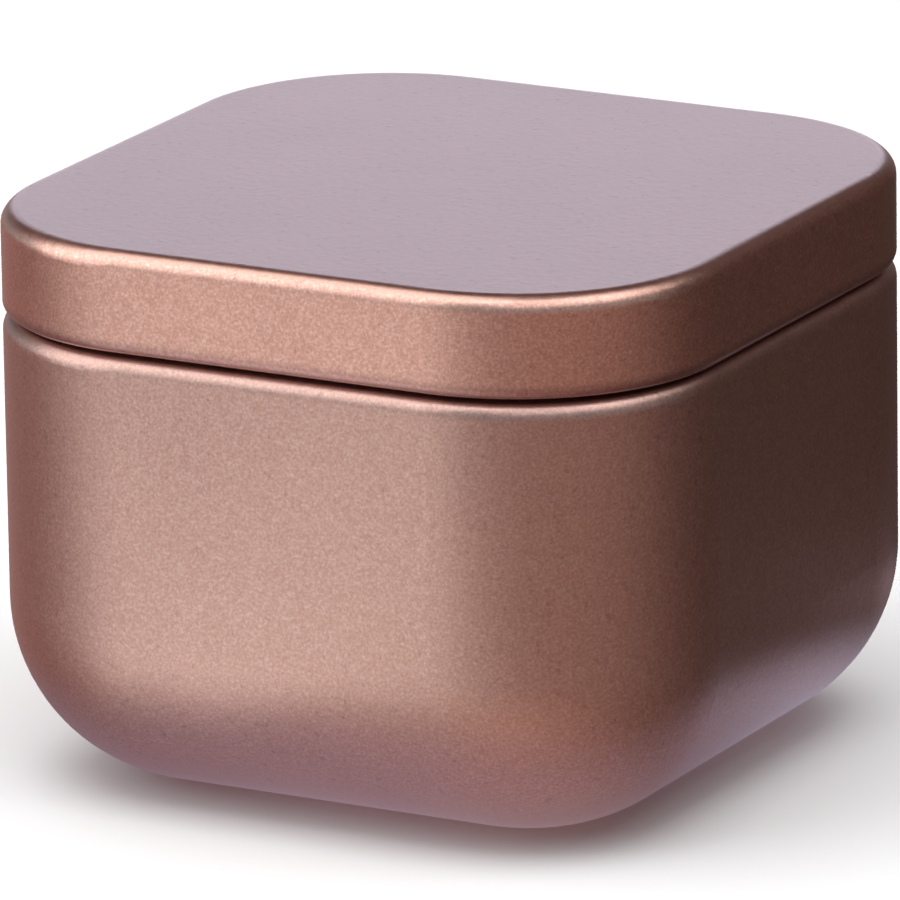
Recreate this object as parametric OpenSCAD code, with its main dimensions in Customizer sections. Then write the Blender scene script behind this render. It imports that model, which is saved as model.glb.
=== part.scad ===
// Square candle tin with rounded corners: a seamless drawn body and a slip-on lid.
// The origin is the middle of the base, where the tin stands. +Z is up and +Y is the back.
// Both pieces are one thin sheet, so each is drawn as a section of its wall, swept round the tin.

/* [Tin] */
// Width and depth of the lid, from flat side to flat side
tin_side = 80; // [62:1:120]
// Height of the tin with its lid on
tin_height = 61; // [40:1:120]
// Plan radius of the four upright corners, at the outside of the lid
corner_r = 21.8; // [20.2:0.2:30]
// Thickness of the sheet that both pieces are drawn from
sheet_t = 0.3; // [0.2:0.05:0.4]

/* [Body] */
// Radius of the big roll from the base into the walls
base_roll_r = 19.6; // [10:0.2:21.4]
// How far the body's walls lie inside the lid's skirt, on each side
body_inset = 0; // [0:0.05:0.4]
// Radius of the hollow where the shoulder turns up into the neck
neck_foot_r = 0.5; // [0.4:0.05:1.2]
// Outer radius of the curl that closes the mouth's raw edge
mouth_curl_r = 0.8; // [0.6:0.05:1.1]

/* [Base panel] */
// Height that the middle of the base is pressed up by
panel_rise = 0.8; // [0.6:0.1:2]
// Width of the flat ring that the tin stands on, round the pressed panel
stand_ring_w = 3; // [2:0.25:5]
// Plan radius of the pressed panel's corners
panel_corner_r = 6; // [3:0.5:9]

/* [Lid] */
// Height of the lid, from its lower rim to its top
lid_h = 10.8; // [8:0.1:16]
// Radius of the edge between the lid's top and its skirt
lid_edge_r = 1.8; // [1:0.05:3]
// Outer radius of the curl that closes the lid's lower edge
lid_curl_r = 1.05; // [0.8:0.05:1.4]

/* [Fits] */
// Side clearance between the lid's curl and the neck
lid_clearance = 0.25; // [0.1:0.05:0.4]
// Clearance between the mouth's curl and the underside of the lid
seat_clearance = 0.1; // [0.05:0.05:0.3]
// Height of the gap between the shoulder and the lid's lower rim
rim_gap = 0.3; // [0.2:0.05:1.5]

/* [Hidden] */
$fn = 128;

// The walls turn their corners about four upright axes, so they stay parallel to each other.
// A plan radius is measured from such an axis, and so is every x in a section below.
corner_axis = tin_side / 2 - corner_r;

// Lid: heights of its rim and of the underside of its top
lid_rim_z = tin_height - lid_h;
lid_under_z = tin_height - sheet_t;

// Body: plan radii of wall and neck, with the shoulder between them
wall_r = corner_r - body_inset;
neck_r = corner_r - 2 * lid_curl_r - lid_clearance;
shoulder_r = wall_r - neck_r - neck_foot_r;
shoulder_z = lid_rim_z - rim_gap;
mouth_z = lid_under_z - seat_clearance;

// Base: the flat inside the roll, and the pressed panel, whose step is two equal bends
base_flat_r = wall_r - base_roll_r;
step_half = corner_axis + base_flat_r - stand_ring_w;
step_r = (panel_rise + sheet_t) / 2;
panel_axis = step_half - panel_corner_r;
panel_flat_r = panel_corner_r - panel_rise;

// One quarter of a bend in the sheet, with outer radius r, in the quarter that (x, z) points to.
module bend(r, x, z) {
    intersection() {
        difference() {
            circle(r);
            circle(r - sheet_t);
        }
        translate([min(x * r, 0), min(z * r, 0)]) square(r);
    }
}

// A curled edge: three quarters of a bend, open in the quarter that (x, z) points to.
module curl(r, x, z) {
    bend(r, -x, z);
    bend(r, -x, -z);
    bend(r, x, -z);
}

// A flat or upright stretch of the section, from its lower inner corner to its upper outer one.
module strip(x0, z0, x1, z1) {
    translate([x0, z0]) square([x1 - x0, z1 - z0]);
}

// Sweeps a section round a square with rounded corners, whose corner axes lie at +-axis in X and Y.
module swept(axis) {
    for (quarter = [0:3])
        rotate([0, 0, 90 * quarter]) {
            translate([axis, axis, 0])
                rotate_extrude(angle = 90)
                    children();
            translate([axis, 0, 0])
                rotate([90, 0, 0])
                    linear_extrude(height = 2 * axis, center = true)
                        children();
        }
}

// The flat middle of a swept piece, between its corner axes.
module middle_sheet(axis, z) {
    translate([-axis, -axis, z]) cube([2 * axis, 2 * axis, sheet_t]);
}

// Plan outline of a square with its corner axes at +-axis, rounded to plan radius r.
module rounded_square(axis, r) {
    for (x = [-1, 1], y = [-1, 1])
        translate([x * axis, y * axis]) circle(r);
    square([2 * (axis + r), 2 * axis], center = true);
    square([2 * axis, 2 * (axis + r)], center = true);
}

// The body's sheet from the edge of the flat base, up the wall, to the curl of the mouth.
module body_section() {
    translate([base_flat_r, base_roll_r]) bend(base_roll_r, 1, -1);
    strip(wall_r - sheet_t, base_roll_r, wall_r, shoulder_z - shoulder_r);
    translate([wall_r - shoulder_r, shoulder_z - shoulder_r]) bend(shoulder_r, 1, 1);
    translate([neck_r + neck_foot_r, shoulder_z + neck_foot_r]) bend(neck_foot_r + sheet_t, -1, -1);
    strip(neck_r - sheet_t, shoulder_z + neck_foot_r, neck_r, mouth_z - mouth_curl_r);
    translate([neck_r - mouth_curl_r, mouth_z - mouth_curl_r]) curl(mouth_curl_r, 1, -1);
}

// The ring that the tin stands on, flat between the roll and the pressed panel.
module stand_ring() {
    linear_extrude(height = sheet_t)
        difference() {
            rounded_square(corner_axis, base_flat_r);
            rounded_square(panel_axis, panel_corner_r);
        }
}

// The step up from the ring, and the edge of the pressed panel.
module panel_section() {
    translate([panel_corner_r, step_r]) bend(step_r, -1, -1);
    translate([panel_flat_r, step_r]) bend(step_r, 1, 1);
    strip(0, panel_rise, panel_flat_r, panel_rise + sheet_t);
}

// The lid's sheet from the flat top, over its edge, to the curl of the lower rim.
module lid_section() {
    strip(0, lid_under_z, corner_r - lid_edge_r, tin_height);
    translate([corner_r - lid_edge_r, tin_height - lid_edge_r]) bend(lid_edge_r, 1, 1);
    strip(corner_r - sheet_t, lid_rim_z + lid_curl_r, corner_r, tin_height - lid_edge_r);
    translate([corner_r - lid_curl_r, lid_rim_z + lid_curl_r]) curl(lid_curl_r, 1, 1);
}

module tin_body() {
    color("rosybrown") {
        swept(corner_axis) body_section();
        stand_ring();
        swept(panel_axis) panel_section();
        middle_sheet(panel_axis, panel_rise);
    }
}

module tin_lid() {
    color("tan") {
        swept(corner_axis) lid_section();
        middle_sheet(corner_axis, lid_under_z);
    }
}

tin_body();
tin_lid();
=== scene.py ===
# %% [markdown]
# # A square candle tin in rose gold
# The tin is two thin pieces of drawn steel: a deep body with a big roll round its base, and a
# shallow lid that slips over the body's neck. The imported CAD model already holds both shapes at
# their real size, with their bends and curls as true curves, so this lesson leaves them as they
# are. It works on what the eye sees next: the camera, the studio and above all the finish, a
# satin lacquer on the outside and plain tinplate on the inside.

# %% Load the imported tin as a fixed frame
import math

import bpy
from mathutils import Matrix, Vector


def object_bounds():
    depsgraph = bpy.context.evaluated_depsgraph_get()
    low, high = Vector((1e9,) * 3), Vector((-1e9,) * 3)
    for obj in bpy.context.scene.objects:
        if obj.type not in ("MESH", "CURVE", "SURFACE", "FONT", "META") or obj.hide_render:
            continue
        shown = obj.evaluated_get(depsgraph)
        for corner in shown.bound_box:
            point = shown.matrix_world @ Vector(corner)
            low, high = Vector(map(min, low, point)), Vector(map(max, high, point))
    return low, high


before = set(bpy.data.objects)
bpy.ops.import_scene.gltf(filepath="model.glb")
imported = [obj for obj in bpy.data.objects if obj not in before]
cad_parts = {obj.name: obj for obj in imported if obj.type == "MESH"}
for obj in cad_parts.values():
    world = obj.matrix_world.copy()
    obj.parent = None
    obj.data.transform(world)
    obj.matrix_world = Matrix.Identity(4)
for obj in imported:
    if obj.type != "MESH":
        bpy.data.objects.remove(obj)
cad_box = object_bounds()
MM = 0.001
tin_low, tin_high = cad_box
print("tin:", [round((b - a) / MM, 1) for a, b in zip(tin_low, tin_high)], "mm")

# %% [markdown]
# ## The camera
# The photograph was taken from far away with a long lens, so the tin's upright sides stay almost
# parallel. It looks a little down on the tin and past its front right corner, which shows the
# wide front, the narrow right side and the top at once. A camera could be placed by eye, but a
# direction, a distance and a lens are easier to check one at a time, so it is placed by those.

# %% Directions round the tin
def look_direction(azimuth, elevation):
    """Unit vector from the tin towards a place at this azimuth (0 is the front) and elevation."""
    return Vector((
        math.sin(azimuth) * math.cos(elevation),
        -math.cos(azimuth) * math.cos(elevation),
        math.sin(elevation),
    ))


def turned_towards(direction, roll=0.0):
    """Rotation that points a camera's or a lamp's -Z the opposite way to direction."""
    facing = (-direction).to_track_quat("-Z", "Y").to_matrix()
    return (facing @ Matrix.Rotation(roll, 3, "Z")).to_euler()


print("front:", [round(v, 3) for v in look_direction(0, 0)])

# %% Camera
VIEW_AZIMUTH = math.radians(28.365)
VIEW_ELEVATION = math.radians(16.175)
VIEW_ROLL = math.radians(-0.88)
VIEW_DISTANCE = 1.2674
LENS_MM = 486.3
SENSOR_MM = 36
VIEW_DEPTH = 20
AIM = Vector((-0.00042, -0.00026, 0.03185))

camera_data = bpy.data.cameras.new("camera")
camera = bpy.data.objects.new("camera", camera_data)
bpy.context.scene.collection.objects.link(camera)
camera_data.lens = LENS_MM
camera_data.sensor_width = SENSOR_MM
camera_data.clip_end = VIEW_DEPTH
towards_camera = look_direction(VIEW_AZIMUTH, VIEW_ELEVATION)
camera.location = AIM + towards_camera * VIEW_DISTANCE
camera.rotation_euler = turned_towards(towards_camera, VIEW_ROLL)
bpy.context.scene.camera = camera
bpy.context.scene.view_settings.view_transform = "Standard"
print("camera at:", [round(v, 3) for v in camera.location], "m")

# %% [markdown]
# ## Node helpers
# Every finish below is a small network of shader nodes. Written out in full, each node takes
# three or four lines, so these helpers add one node, give it its inputs and hand back its result.

# %% Helpers for shader nodes
def add_node(tree, kind, **settings):
    """A new shader node with its settings, such as operation="MULTIPLY"."""
    new = tree.nodes.new("ShaderNode" + kind)
    for name, value in settings.items():
        setattr(new, name, value)
    return new


def feed(tree, socket, value):
    """Links another node's result to a socket, or sets the socket to a plain value."""
    if isinstance(value, bpy.types.NodeSocket):
        tree.links.new(value, socket)
    else:
        socket.default_value = value


def calculate(tree, operation, a, b=0.0):
    """One step of arithmetic on numbers."""
    step = add_node(tree, "Math", operation=operation)
    feed(tree, step.inputs[0], a)
    feed(tree, step.inputs[1], b)
    return step.outputs["Value"]


def weighted_sum(tree, start, *terms):
    """start plus every value times its weight; each term is a value and a weight."""
    total = start
    for value, weight in terms:
        total = calculate(tree, "ADD", total, calculate(tree, "MULTIPLY", value, weight))
    return total


def calculate_vector(tree, operation, a, b=(0, 0, 0)):
    """One step of arithmetic on points and directions."""
    step = add_node(tree, "VectorMath", operation=operation)
    feed(tree, step.inputs[0], a)
    feed(tree, step.inputs[1], b)
    number = operation in {"DOT_PRODUCT", "LENGTH", "DISTANCE"}
    return step.outputs["Value" if number else "Vector"]


def fade(tree, value, start, end, low=0.0, high=1.0):
    """A soft step from low at start to high at end."""
    step = add_node(tree, "MapRange", interpolation_type="SMOOTHSTEP")
    for name, number in (("From Min", start), ("From Max", end), ("To Min", low), ("To Max", high)):
        step.inputs[name].default_value = number
    feed(tree, step.inputs["Value"], value)
    return step.outputs["Result"]


def mixed(tree, part, a, b, blend_type="MIX"):
    """Two colours mixed: all a at part 0, all b at part 1, or as blend_type says."""
    mix = add_node(tree, "Mix", data_type="RGBA", blend_type=blend_type)
    feed(tree, mix.inputs["Factor"], part)
    feed(tree, mix.inputs["A"], a)
    feed(tree, mix.inputs["B"], b)
    return mix.outputs["Result"]


def opaque(color):
    """A colour of three numbers as a socket wants it, with alpha."""
    return (*color, 1)


def new_material(name):
    """A material with its node tree, and its Principled shader."""
    material = bpy.data.materials.new(name)
    material.use_nodes = True
    return material, material.node_tree, material.node_tree.nodes["Principled BSDF"]


print("helpers ready")

# %% [markdown]
# ## Floor and studio
# The tin stands on white paper in a bright studio. The paper is a wide plane, so no edge or
# horizon shows in any view. A lacquered metal tin has almost no colour of its own: what we see on
# it is the room, blurred by the satin finish. So the studio is built with care, from a weak even
# light round the front, a few large soft lamps, and a card that stands for the table. High up
# behind the tin the room is dark: that is the thin dark line just above the lid's bright edge.
# It is dark low down at the back right too. Both dark parts fade in softly, between two cosines
# of the angle from their middle, because a hard edge would show as a stripe on the lid.

# %% White floor
FLOOR_SIDE = 8
PAPER_WHITE = (0.92, 0.92, 0.92)
PAPER_ROUGHNESS = 0.9
PAPER_SHINE = 0.1

paper, _, paper_shader = new_material("floor_paper")
paper_shader.inputs["Base Color"].default_value = opaque(PAPER_WHITE)
paper_shader.inputs["Roughness"].default_value = PAPER_ROUGHNESS
paper_shader.inputs["Specular IOR Level"].default_value = PAPER_SHINE
bpy.ops.object.select_all(action="DESELECT")
bpy.ops.mesh.primitive_plane_add(size=FLOOR_SIDE, location=(0, 0, 0))
floor = bpy.context.object
floor.name = "floor"
floor.data.materials.append(paper)
print("floor:", floor.dimensions.x, "m wide")

# %% Even light of the room
ROOM_LIGHT = (0.27, 0.29, 0.31)
CORNER_LIGHT = (0.05, 0.015, 0.01)
SIDE_LIGHT = (0.06, 0.035, 0.03)
DARK_CORNER = look_direction(math.radians(-135), math.radians(53))
DARK_SIDE = look_direction(math.radians(150), math.radians(12))
CORNER_FADE = (0.58, 0.90)
SIDE_FADE = (0.55, 0.92)

world = bpy.data.worlds.new("studio")
bpy.context.scene.world = world
world.use_nodes = True
tree = world.node_tree
room = tree.nodes["Background"]
way = add_node(tree, "TexCoord").outputs["Object"]
to_corner = calculate_vector(tree, "DOT_PRODUCT", way, DARK_CORNER)
to_side = calculate_vector(tree, "DOT_PRODUCT", way, DARK_SIDE)
in_corner = fade(tree, to_corner, *CORNER_FADE)
at_side = fade(tree, to_side, *SIDE_FADE)
walls = mixed(tree, in_corner, opaque(ROOM_LIGHT), opaque(CORNER_LIGHT))
walls = mixed(tree, at_side, walls, opaque(SIDE_LIGHT))
feed(tree, room.inputs["Color"], walls)
print("room light:", ROOM_LIGHT, "dark corner:", CORNER_LIGHT)

# %% [markdown]
# ## Lamps
# The reflections in the photograph hint at where its lamps were. The bright bands along the lid's
# edge and the shoulder fit a big window-like light at the front left, high up, and they fade
# towards the right, as if the light were weaker there. The top fits a cool, dimmer wall behind the
# tin. Area lamps are used, because a band of light on metal has the shape of the lamp. Each is
# described by its brightness per area, so it can be made larger without the reflection growing
# brighter. Places and levels were then tuned until the render came close to the photograph.

# %% Soft lamps
LAMPS_AIM = Vector((0, 0, 0.03))


def softbox(name, azimuth, elevation, distance, size, radiance, color=(1, 1, 1), mirrored=True):
    """A rectangular area lamp that faces the tin; angles are in degrees, size in metres."""
    data = bpy.data.lights.new(name, "AREA")
    data.shape = "RECTANGLE"
    data.size, data.size_y = size
    data.energy = radiance * data.size * data.size_y * math.pi
    data.color = color
    lamp = bpy.data.objects.new(name, data)
    bpy.context.scene.collection.objects.link(lamp)
    direction = look_direction(math.radians(azimuth), math.radians(elevation))
    lamp.location = LAMPS_AIM + direction * distance
    lamp.rotation_euler = turned_towards(direction)
    lamp.visible_glossy = mirrored
    print(name, "power:", round(data.energy, 2), "W")


softbox("window", -54, 44.5, 1.0, (1.0, 1.74), 1.44, (0.98, 1.0, 1.0))
softbox("front_fill", 50, 59, 1.0, (1.1, 0.85), 0.78)
softbox("right_fill", 104, 57, 1.0, (0.75, 0.70), 0.95)
softbox("back_wall", -151, 15, 1.0, (0.5, 0.45), 0.88, (0.64, 0.77, 1.0))
softbox("overhead", 0, 89, 2.0, (2.5, 2.5), 1.53, mirrored=False)

# %% [markdown]
# ## What the tin mirrors below
# The camera looks down, so the upright sides of the tin mirror the table in front of it and not
# the lamps. In the photograph they are bright on the wide side, brown towards the right, dark
# further round and dim near the foot, as over a table that a window lights from the left. White
# paper would wash them out. So mirror-like rays see this card in place of the white floor, while
# the eye and the shadows still get the floor. The card glows, though it is no lamp, and its
# colours are painted light and shade: painted light from the window at the front left, painted
# shadow at the back right and painted shade near the foot. They go round the tin on two soft
# ramps, one close to the foot and one further out, which dims a little with distance. Three soft
# patches of painted light come on top: the window's light in front, a brown glow at the front
# right corner and a pale one at the back right. The real table can't be seen, so these colours
# are tuned and not measured. A picture of a table could be mirrored instead, but ramps are easier
# to set one side at a time.

# %% Helpers for the table's glow
def direction_round(tree, point, centre=(0, 0, 0)):
    """Where a point lies round the centre: 0 at -180 degrees, 0.5 at the front, 1 at +180."""
    split = add_node(tree, "SeparateXYZ")
    feed(tree, split.inputs[0], calculate_vector(tree, "SUBTRACT", point, centre))
    forward = calculate(tree, "MULTIPLY", split.outputs["Y"], -1)
    turn = calculate(tree, "ARCTAN2", split.outputs["X"], forward)
    return calculate(tree, "ADD", calculate(tree, "DIVIDE", turn, 2 * math.pi), 0.5)


def ramp_round(tree, place, stops):
    """A soft colour ramp over the direction; each stop is a direction in degrees and a colour."""
    ramp = add_node(tree, "ValToRGB")
    ramp.color_ramp.interpolation = "B_SPLINE"
    elements = ramp.color_ramp.elements
    for i, (degrees, color) in enumerate(stops):
        position = (degrees + 180) / 360
        element = elements[i] if i < 2 else elements.new(position)
        element.position = position
        element.color = opaque(color)
    feed(tree, ramp.inputs[0], place)
    return ramp.outputs["Color"]


WOOD_BROWN = (1, 0.70, 0.62)


def brown(level):
    """The table's own wood brown at a level of light."""
    return tuple(level * part for part in WOOD_BROWN)


print("table brown at half light:", brown(0.5))

# %% Colours of the table
WINDOW_ON_TABLE = (0.88, 0.87, 0.87)
FAR_CENTRE = (-0.008, -0.036, 0)
# Painted light and shade round the tin, further out: the window's light at the front left, painted
# shadow at the back right.
FAR_STOPS = [
    (-180, brown(0.10)), (-150, (0.46, 0.30, 0.28)), (-116, (0.33, 0.19, 0.18)),
    (-73, (0.16, 0.065, 0.055)), (-36, WINDOW_ON_TABLE), (-21, WINDOW_ON_TABLE),
    (8, brown(0.29)), (73, (0.37, 0.24, 0.205)), (114, (0.04, 0.022, 0.018)),
    (180, brown(0.07)),
]
# Close to the foot: painted shade, dimmer than further out at the front.
NEAR_STOPS = [
    (-180, (0.32, 0.28, 0.36)), (-90, (0.17, 0.11, 0.14)), (-24, (0.35, 0.28, 0.35)),
    (15, (0.35, 0.28, 0.35)), (45, (0.37, 0.29, 0.33)), (76, (0.18, 0.13, 0.16)),
    (130, (0.43, 0.44, 0.58)), (180, (0.52, 0.48, 0.62)),
]
NEAR_END, FAR_START = 0.040, 0.067
DIM_START, DIM_END, DIM_LEVEL = 0.12, 0.20, 0.89

# Each patch of painted light has a centre, a radius in metres and the colour that it adds in its
# middle.
PAINTED_LIGHT_PATCHES = [
    ((-0.010, -0.104, 0), 0.076, (0.44, 0.46, 0.45)),
    ((0.036, -0.057, 0), 0.042, (0.15, 0.11, 0.10)),
    ((0.045, 0.066, 0), 0.032, (0.20, 0.18, 0.22)),
]
print("stops:", len(FAR_STOPS), "far,", len(NEAR_STOPS), "near; patches:", len(PAINTED_LIGHT_PATCHES))

# %% Glow of the table
table = bpy.data.materials.new("table_glow")
table.use_nodes = True
tree = table.node_tree
tree.nodes.clear()
point = add_node(tree, "TexCoord").outputs["Object"]
far_glow = ramp_round(tree, direction_round(tree, point, FAR_CENTRE), FAR_STOPS)
near_glow = ramp_round(tree, direction_round(tree, point), NEAR_STOPS)
from_tin = calculate_vector(tree, "LENGTH", point)
# Painted fall-off of the light: the far ramp dims with distance from the tin.
dimming = fade(tree, from_tin, DIM_START, DIM_END, 1.0, DIM_LEVEL)
far_glow = mixed(tree, 1.0, far_glow, dimming, "MULTIPLY")
far_part = fade(tree, from_tin, NEAR_END, FAR_START)
table_light = mixed(tree, far_part, near_glow, far_glow)
# Patches of painted light are added on top.
for centre, radius, color in PAINTED_LIGHT_PATCHES:
    in_light_patch = fade(tree, calculate_vector(tree, "DISTANCE", point, centre), radius, 0.0)
    table_light = mixed(tree, in_light_patch, table_light, opaque(color), "ADD")
glow = add_node(tree, "Emission")
feed(tree, glow.inputs["Color"], table_light)
feed(tree, add_node(tree, "OutputMaterial").inputs["Surface"], glow.outputs[0])
print("table glow nodes:", len(tree.nodes))

# %% The table card
CARD_RADIUS = 3
CARD_HEIGHT = 0.2 * MM
CARD_SIDES = 96

bpy.ops.object.select_all(action="DESELECT")
bpy.ops.mesh.primitive_circle_add(
    vertices=CARD_SIDES, radius=CARD_RADIUS, fill_type="NGON", location=(0, 0, CARD_HEIGHT))
card = bpy.context.object
card.name = "table_card"
card.data.materials.append(table)
card.visible_camera = False
card.visible_diffuse = False
card.visible_shadow = False
card.visible_transmission = False
floor.visible_glossy = False
print("table card:", card.dimensions.x, "m across")

# %% [markdown]
# ## Which side of the sheet
# The sheet is lacquered rose gold on one side only, before it is drawn. That side becomes the
# outside of the tin, and the inside stays plain tinplate. At the mouth and at the lid's rim the
# edge is curled inwards, so the lacquered side shows all round the curl. Two materials on
# separate faces would do it, but the CAD mesh stays as it is. Instead the shader compares the way
# the surface faces with the way out of the tin: where they agree, it is the outside. Height
# counts twenty times as much as distance sideways, so that the flat top and base go by whether
# they face away from the tin's middle height, and the walls by whether they face its axis.

# %% Outside or inside
TIN_MIDDLE = (0, 0, 0.03)
SIDEWAYS_WEIGHT = (0.05, 0.05, 1)


def outside_part(tree, coords, curl_from, curl_to):
    """1 on the lacquered side of the sheet and on the curl between two heights, 0 inside."""
    outward = calculate_vector(tree, "SUBTRACT", coords.outputs["Object"], TIN_MIDDLE)
    outward = calculate_vector(tree, "MULTIPLY", outward, SIDEWAYS_WEIGHT)
    agreement = calculate_vector(tree, "DOT_PRODUCT", coords.outputs["Normal"], outward)
    faces_out = calculate(tree, "GREATER_THAN", agreement, 0)
    height = add_node(tree, "SeparateXYZ")
    feed(tree, height.inputs[0], coords.outputs["Object"])
    above = calculate(tree, "GREATER_THAN", height.outputs["Z"], curl_from)
    below = calculate(tree, "LESS_THAN", height.outputs["Z"], curl_to)
    return calculate(tree, "MAXIMUM", faces_out, calculate(tree, "MULTIPLY", above, below))


print("tin's middle height:", TIN_MIDDLE[2] / MM, "mm")

# %% [markdown]
# ## Grain of the drawn sheet
# Close up, the satin walls are not smooth but have a fine grain of about a third of a millimetre.
# That fits drawn steel, whose crystals stand out where it is stretched, with the lacquer following
# them. The top is hardly stretched and looks smoother, with a few specks as of dust under the
# lacquer, and the base is taken to be the same.
# Painted pictures of grain would repeat and blur, so noise that is worked out at every point is
# used: one fine, one like orange peel and one broad and faint, for the lacquer's uneven depth.

# %% Noise on the metal
NOISE_ROUGHNESS = 0.6


def noise(tree, point, size, detail=0.0):
    """Noise about 0, within -0.5 and 0.5, whose spots are about this size in metres."""
    texture = add_node(tree, "TexNoise")
    texture.inputs["Scale"].default_value = 1 / size
    texture.inputs["Detail"].default_value = detail
    texture.inputs["Roughness"].default_value = NOISE_ROUGHNESS
    feed(tree, texture.inputs["Vector"], point)
    return calculate(tree, "SUBTRACT", texture.outputs["Fac"], 0.5)


FLAT_FROM, WALL_FROM = 0.97, 0.5
FLAT_GRAIN = 0.22


def stretched_part(tree, coords):
    """1 on walls and bends, where the sheet was stretched, and less on the flat top and base."""
    split = add_node(tree, "SeparateXYZ")
    feed(tree, split.inputs[0], coords.outputs["Normal"])
    flatness = calculate(tree, "ABSOLUTE", split.outputs["Z"])
    return fade(tree, flatness, FLAT_FROM, WALL_FROM, FLAT_GRAIN, 1.0)


SPECK_SIZE = 0.8 * MM
SPECK_FROM, SPECK_FULL = 0.22, 0.30


def speck_part(tree, point):
    """1 on the sparse specks of dust and 0 between them."""
    return fade(tree, noise(tree, point, SPECK_SIZE), SPECK_FROM, SPECK_FULL)


GRAIN_SIZE = 0.30 * MM
PEEL_SIZE = 0.9 * MM
CLOUD_SIZE = 14 * MM
print("grain, peel, cloud:", GRAIN_SIZE / MM, PEEL_SIZE / MM, CLOUD_SIZE / MM, "mm")

# %% [markdown]
# ## Rose gold outside, tinplate inside
# The finish is a tinted lacquer over bright tinplate. It could be copied layer by layer, but one
# metal with the lacquer's colour and a clear, equally satin coat on it gives the same look: the
# coat adds the whitish sheen at glancing angles that bare copper lacks. The grain is in the
# colour and the relief, and the orange peel in the roughness too. In the photograph the grain is
# equally strong in red, green and blue, so its tint lifts green and blue more than red, and a
# light grain is also paler, perhaps where the lacquer is thin. Low on the lid's rim, next to the
# gap over the body, painted shade makes the colour darker and redder. The plain side isn't in the
# photograph: it is guessed as paler and greyer, without a coat, and with the upright marks that
# drawing leaves on the metal.

# %% Colour of the lacquer
GRAIN_COLOR = 0.75
GRAIN_TINT = (0.78, 1.38, 1.55)
GLINT_COLOR = 0.7
PEEL_COLOR = 0.10
CLOUD_COLOR = 0.10
SPECK_COLOR = 0.14
# Painted shade low on the lid's rim: its colour, and the heights above the rim where it starts and
# where it is full.
RIM_SHADE_COLOR = (0.42, 0.21, 0.19)
RIM_SHADE_FROM, RIM_SHADE_FULL = 1.9 * MM, 0.4 * MM


def lacquer_color(tree, point, color, grain, peel, speck, rim_z):
    """The lacquer with grain, orange peel, clouds, specks and painted shade just above rim_z."""
    height = add_node(tree, "SeparateXYZ")
    feed(tree, height.inputs[0], point)
    # Painted shade next to the gap under the lid: none 1.9 mm above the rim, full from 0.4 mm down.
    painted_rim_shade = fade(tree, height.outputs["Z"], rim_z + RIM_SHADE_FROM, rim_z + RIM_SHADE_FULL)
    lacquer = mixed(tree, painted_rim_shade, opaque(color), opaque(RIM_SHADE_COLOR))
    glints = calculate(tree, "MULTIPLY", grain, grain)
    cloud = noise(tree, point, CLOUD_SIZE, 1.0)
    grain_shade = weighted_sum(tree, 0.0, (grain, GRAIN_COLOR), (glints, GLINT_COLOR))
    shade = weighted_sum(
        tree, 1.0, (speck, -SPECK_COLOR), (peel, PEEL_COLOR), (cloud, CLOUD_COLOR))
    tint = calculate_vector(tree, "MULTIPLY", grain_shade, GRAIN_TINT)
    tint = calculate_vector(tree, "ADD", tint, shade)
    return calculate_vector(tree, "MULTIPLY", lacquer, tint)


# Where the painted shade on the lid's rim starts.
print("lacquer's run starts", RIM_SHADE_FROM / MM, "mm above the rim")

# %% Colour of the tinplate
TINPLATE = (0.70, 0.69, 0.67)
TINPLATE_GRAIN = 0.3
DRAW_MARKS = (4000, 4000, 90)
DRAW_MARK_COLOR = 0.35


def tinplate_color(tree, point, grain):
    """Plain tinplate with a weaker grain and faint upright drawing marks."""
    marks = add_node(tree, "TexNoise")
    marks.inputs["Scale"].default_value = 1
    feed(tree, marks.inputs["Vector"], calculate_vector(tree, "MULTIPLY", point, DRAW_MARKS))
    shade = weighted_sum(
        tree, 1 - DRAW_MARK_COLOR / 2,
        (marks.outputs["Fac"], DRAW_MARK_COLOR), (grain, TINPLATE_GRAIN))
    tint = add_node(tree, "VectorMath", operation="SCALE")
    tint.inputs[0].default_value = TINPLATE
    feed(tree, tint.inputs["Scale"], shade)
    return tint.outputs["Vector"]


print("tinplate colour:", TINPLATE)

# %% The drawn tin's material
COAT_IOR = 1.6
TINPLATE_ROUGHNESS = 0.30
PEEL_ROUGHNESS = 0.06
RELIEF = 0.005 * MM
PEEL_RELIEF = 3.0


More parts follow.
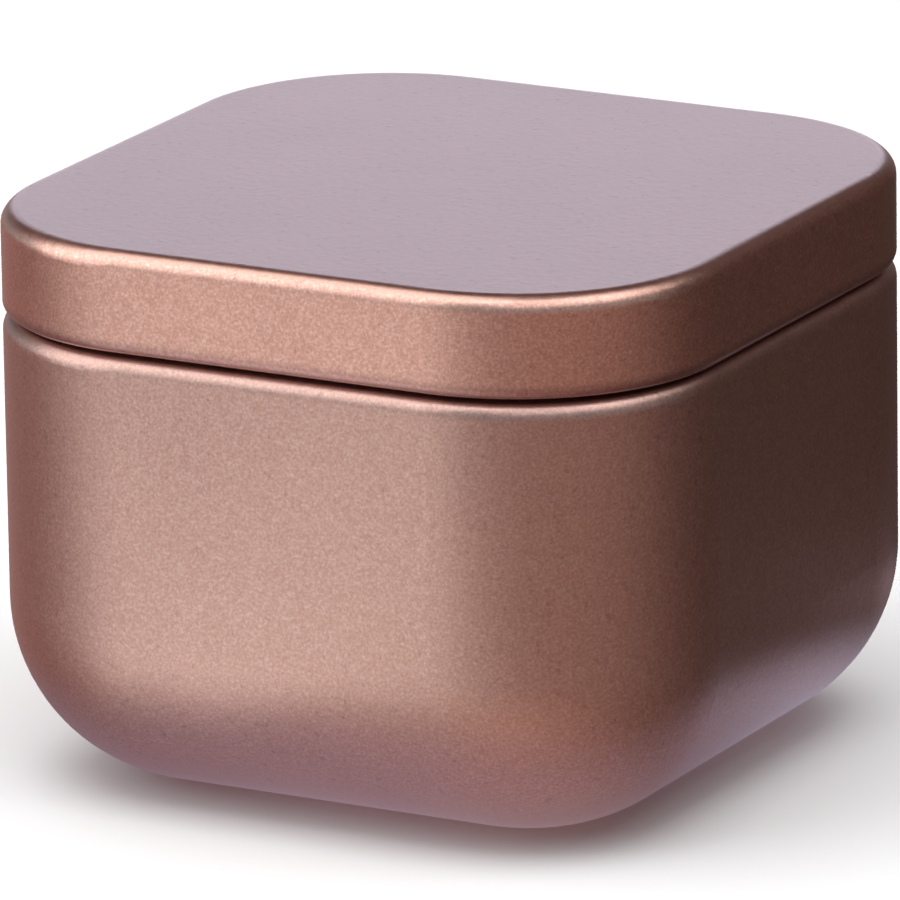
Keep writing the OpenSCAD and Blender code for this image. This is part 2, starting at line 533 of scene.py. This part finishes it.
def drawn_tin_material(name, color, roughness, grain_level, curl, rim_z):
    """Satin lacquer outside and tinplate inside; curl is the heights that the curl lies between."""
    material, tree, shader = new_material(name)
    coords = add_node(tree, "TexCoord")
    point = coords.outputs["Object"]
    grain = calculate(
        tree, "MULTIPLY", noise(tree, point, GRAIN_SIZE, 1.0), stretched_part(tree, coords))
    grain = calculate(tree, "MULTIPLY", grain, grain_level)
    peel = noise(tree, point, PEEL_SIZE)
    speck = speck_part(tree, point)
    outside = outside_part(tree, coords, *curl)

    lacquered = lacquer_color(tree, point, color, grain, peel, speck, rim_z)
    plain = tinplate_color(tree, point, grain)
    feed(tree, shader.inputs["Base Color"], mixed(tree, outside, plain, lacquered))
    feed(tree, shader.inputs["Roughness"], weighted_sum(
        tree, TINPLATE_ROUGHNESS,
        (outside, roughness - TINPLATE_ROUGHNESS), (peel, PEEL_ROUGHNESS)))
    feed(tree, shader.inputs["Coat Weight"], outside)
    shader.inputs["Metallic"].default_value = 1
    shader.inputs["Coat IOR"].default_value = COAT_IOR
    shader.inputs["Coat Roughness"].default_value = roughness

    relief = add_node(tree, "Bump")
    relief.inputs["Strength"].default_value = 1
    relief.inputs["Distance"].default_value = RELIEF
    bumps = calculate(tree, "ADD", grain, speck)
    feed(tree, relief.inputs["Height"], weighted_sum(tree, bumps, (peel, PEEL_RELIEF)))
    feed(tree, shader.inputs["Normal"], relief.outputs["Normal"])
    feed(tree, shader.inputs["Coat Normal"], relief.outputs["Normal"])
    print(name, "nodes:", len(tree.nodes))
    return material


# %% [markdown]
# ## Dressing the two pieces
# Both pieces have one kind of finish, but the lid's lacquer is a touch lighter, warmer and
# glossier, to come close to the photograph. One finish could serve both, but then the lid would
# look dull. Each piece tells its material between which heights its curl lies: at the mouth of the
# body, and at the rim of the lid. Only the lid gets the painted shade low on its rim, so the
# body's is put below the floor, where it reaches nothing.

# %% Finish of the body
BODY_ROSE = (0.67, 0.402, 0.336)
BODY_ROUGHNESS = 0.37
BODY_GRAIN = 0.97
MOUTH_CURL_Z = 59.0 * MM
# No painted rim shade on the body: its height is put below the floor.
NO_RIM_SHADE_Z = -10 * MM

body_finish = drawn_tin_material(
    "body_rose_gold", BODY_ROSE, BODY_ROUGHNESS, BODY_GRAIN,
    curl=(MOUTH_CURL_Z, tin_high.z), rim_z=NO_RIM_SHADE_Z)


def dress(name, material):
    """Gives a CAD node its material."""
    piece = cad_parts[name]
    piece.data.materials.clear()
    piece.data.materials.append(material)
    print(name, "wears", material.name)


dress("tin_body", body_finish)

# %% Finish of the lid
LID_ROSE = (0.845, 0.472, 0.376)
LID_ROUGHNESS = 0.34
LID_GRAIN = 1.13
LID_RIM_Z = 50.2 * MM
RIM_CURL_HEIGHT = 2.1 * MM

lid_finish = drawn_tin_material(
    "lid_rose_gold", LID_ROSE, LID_ROUGHNESS, LID_GRAIN,
    curl=(tin_low.z, LID_RIM_Z + RIM_CURL_HEIGHT), rim_z=LID_RIM_Z)
dress("tin_lid", lid_finish)
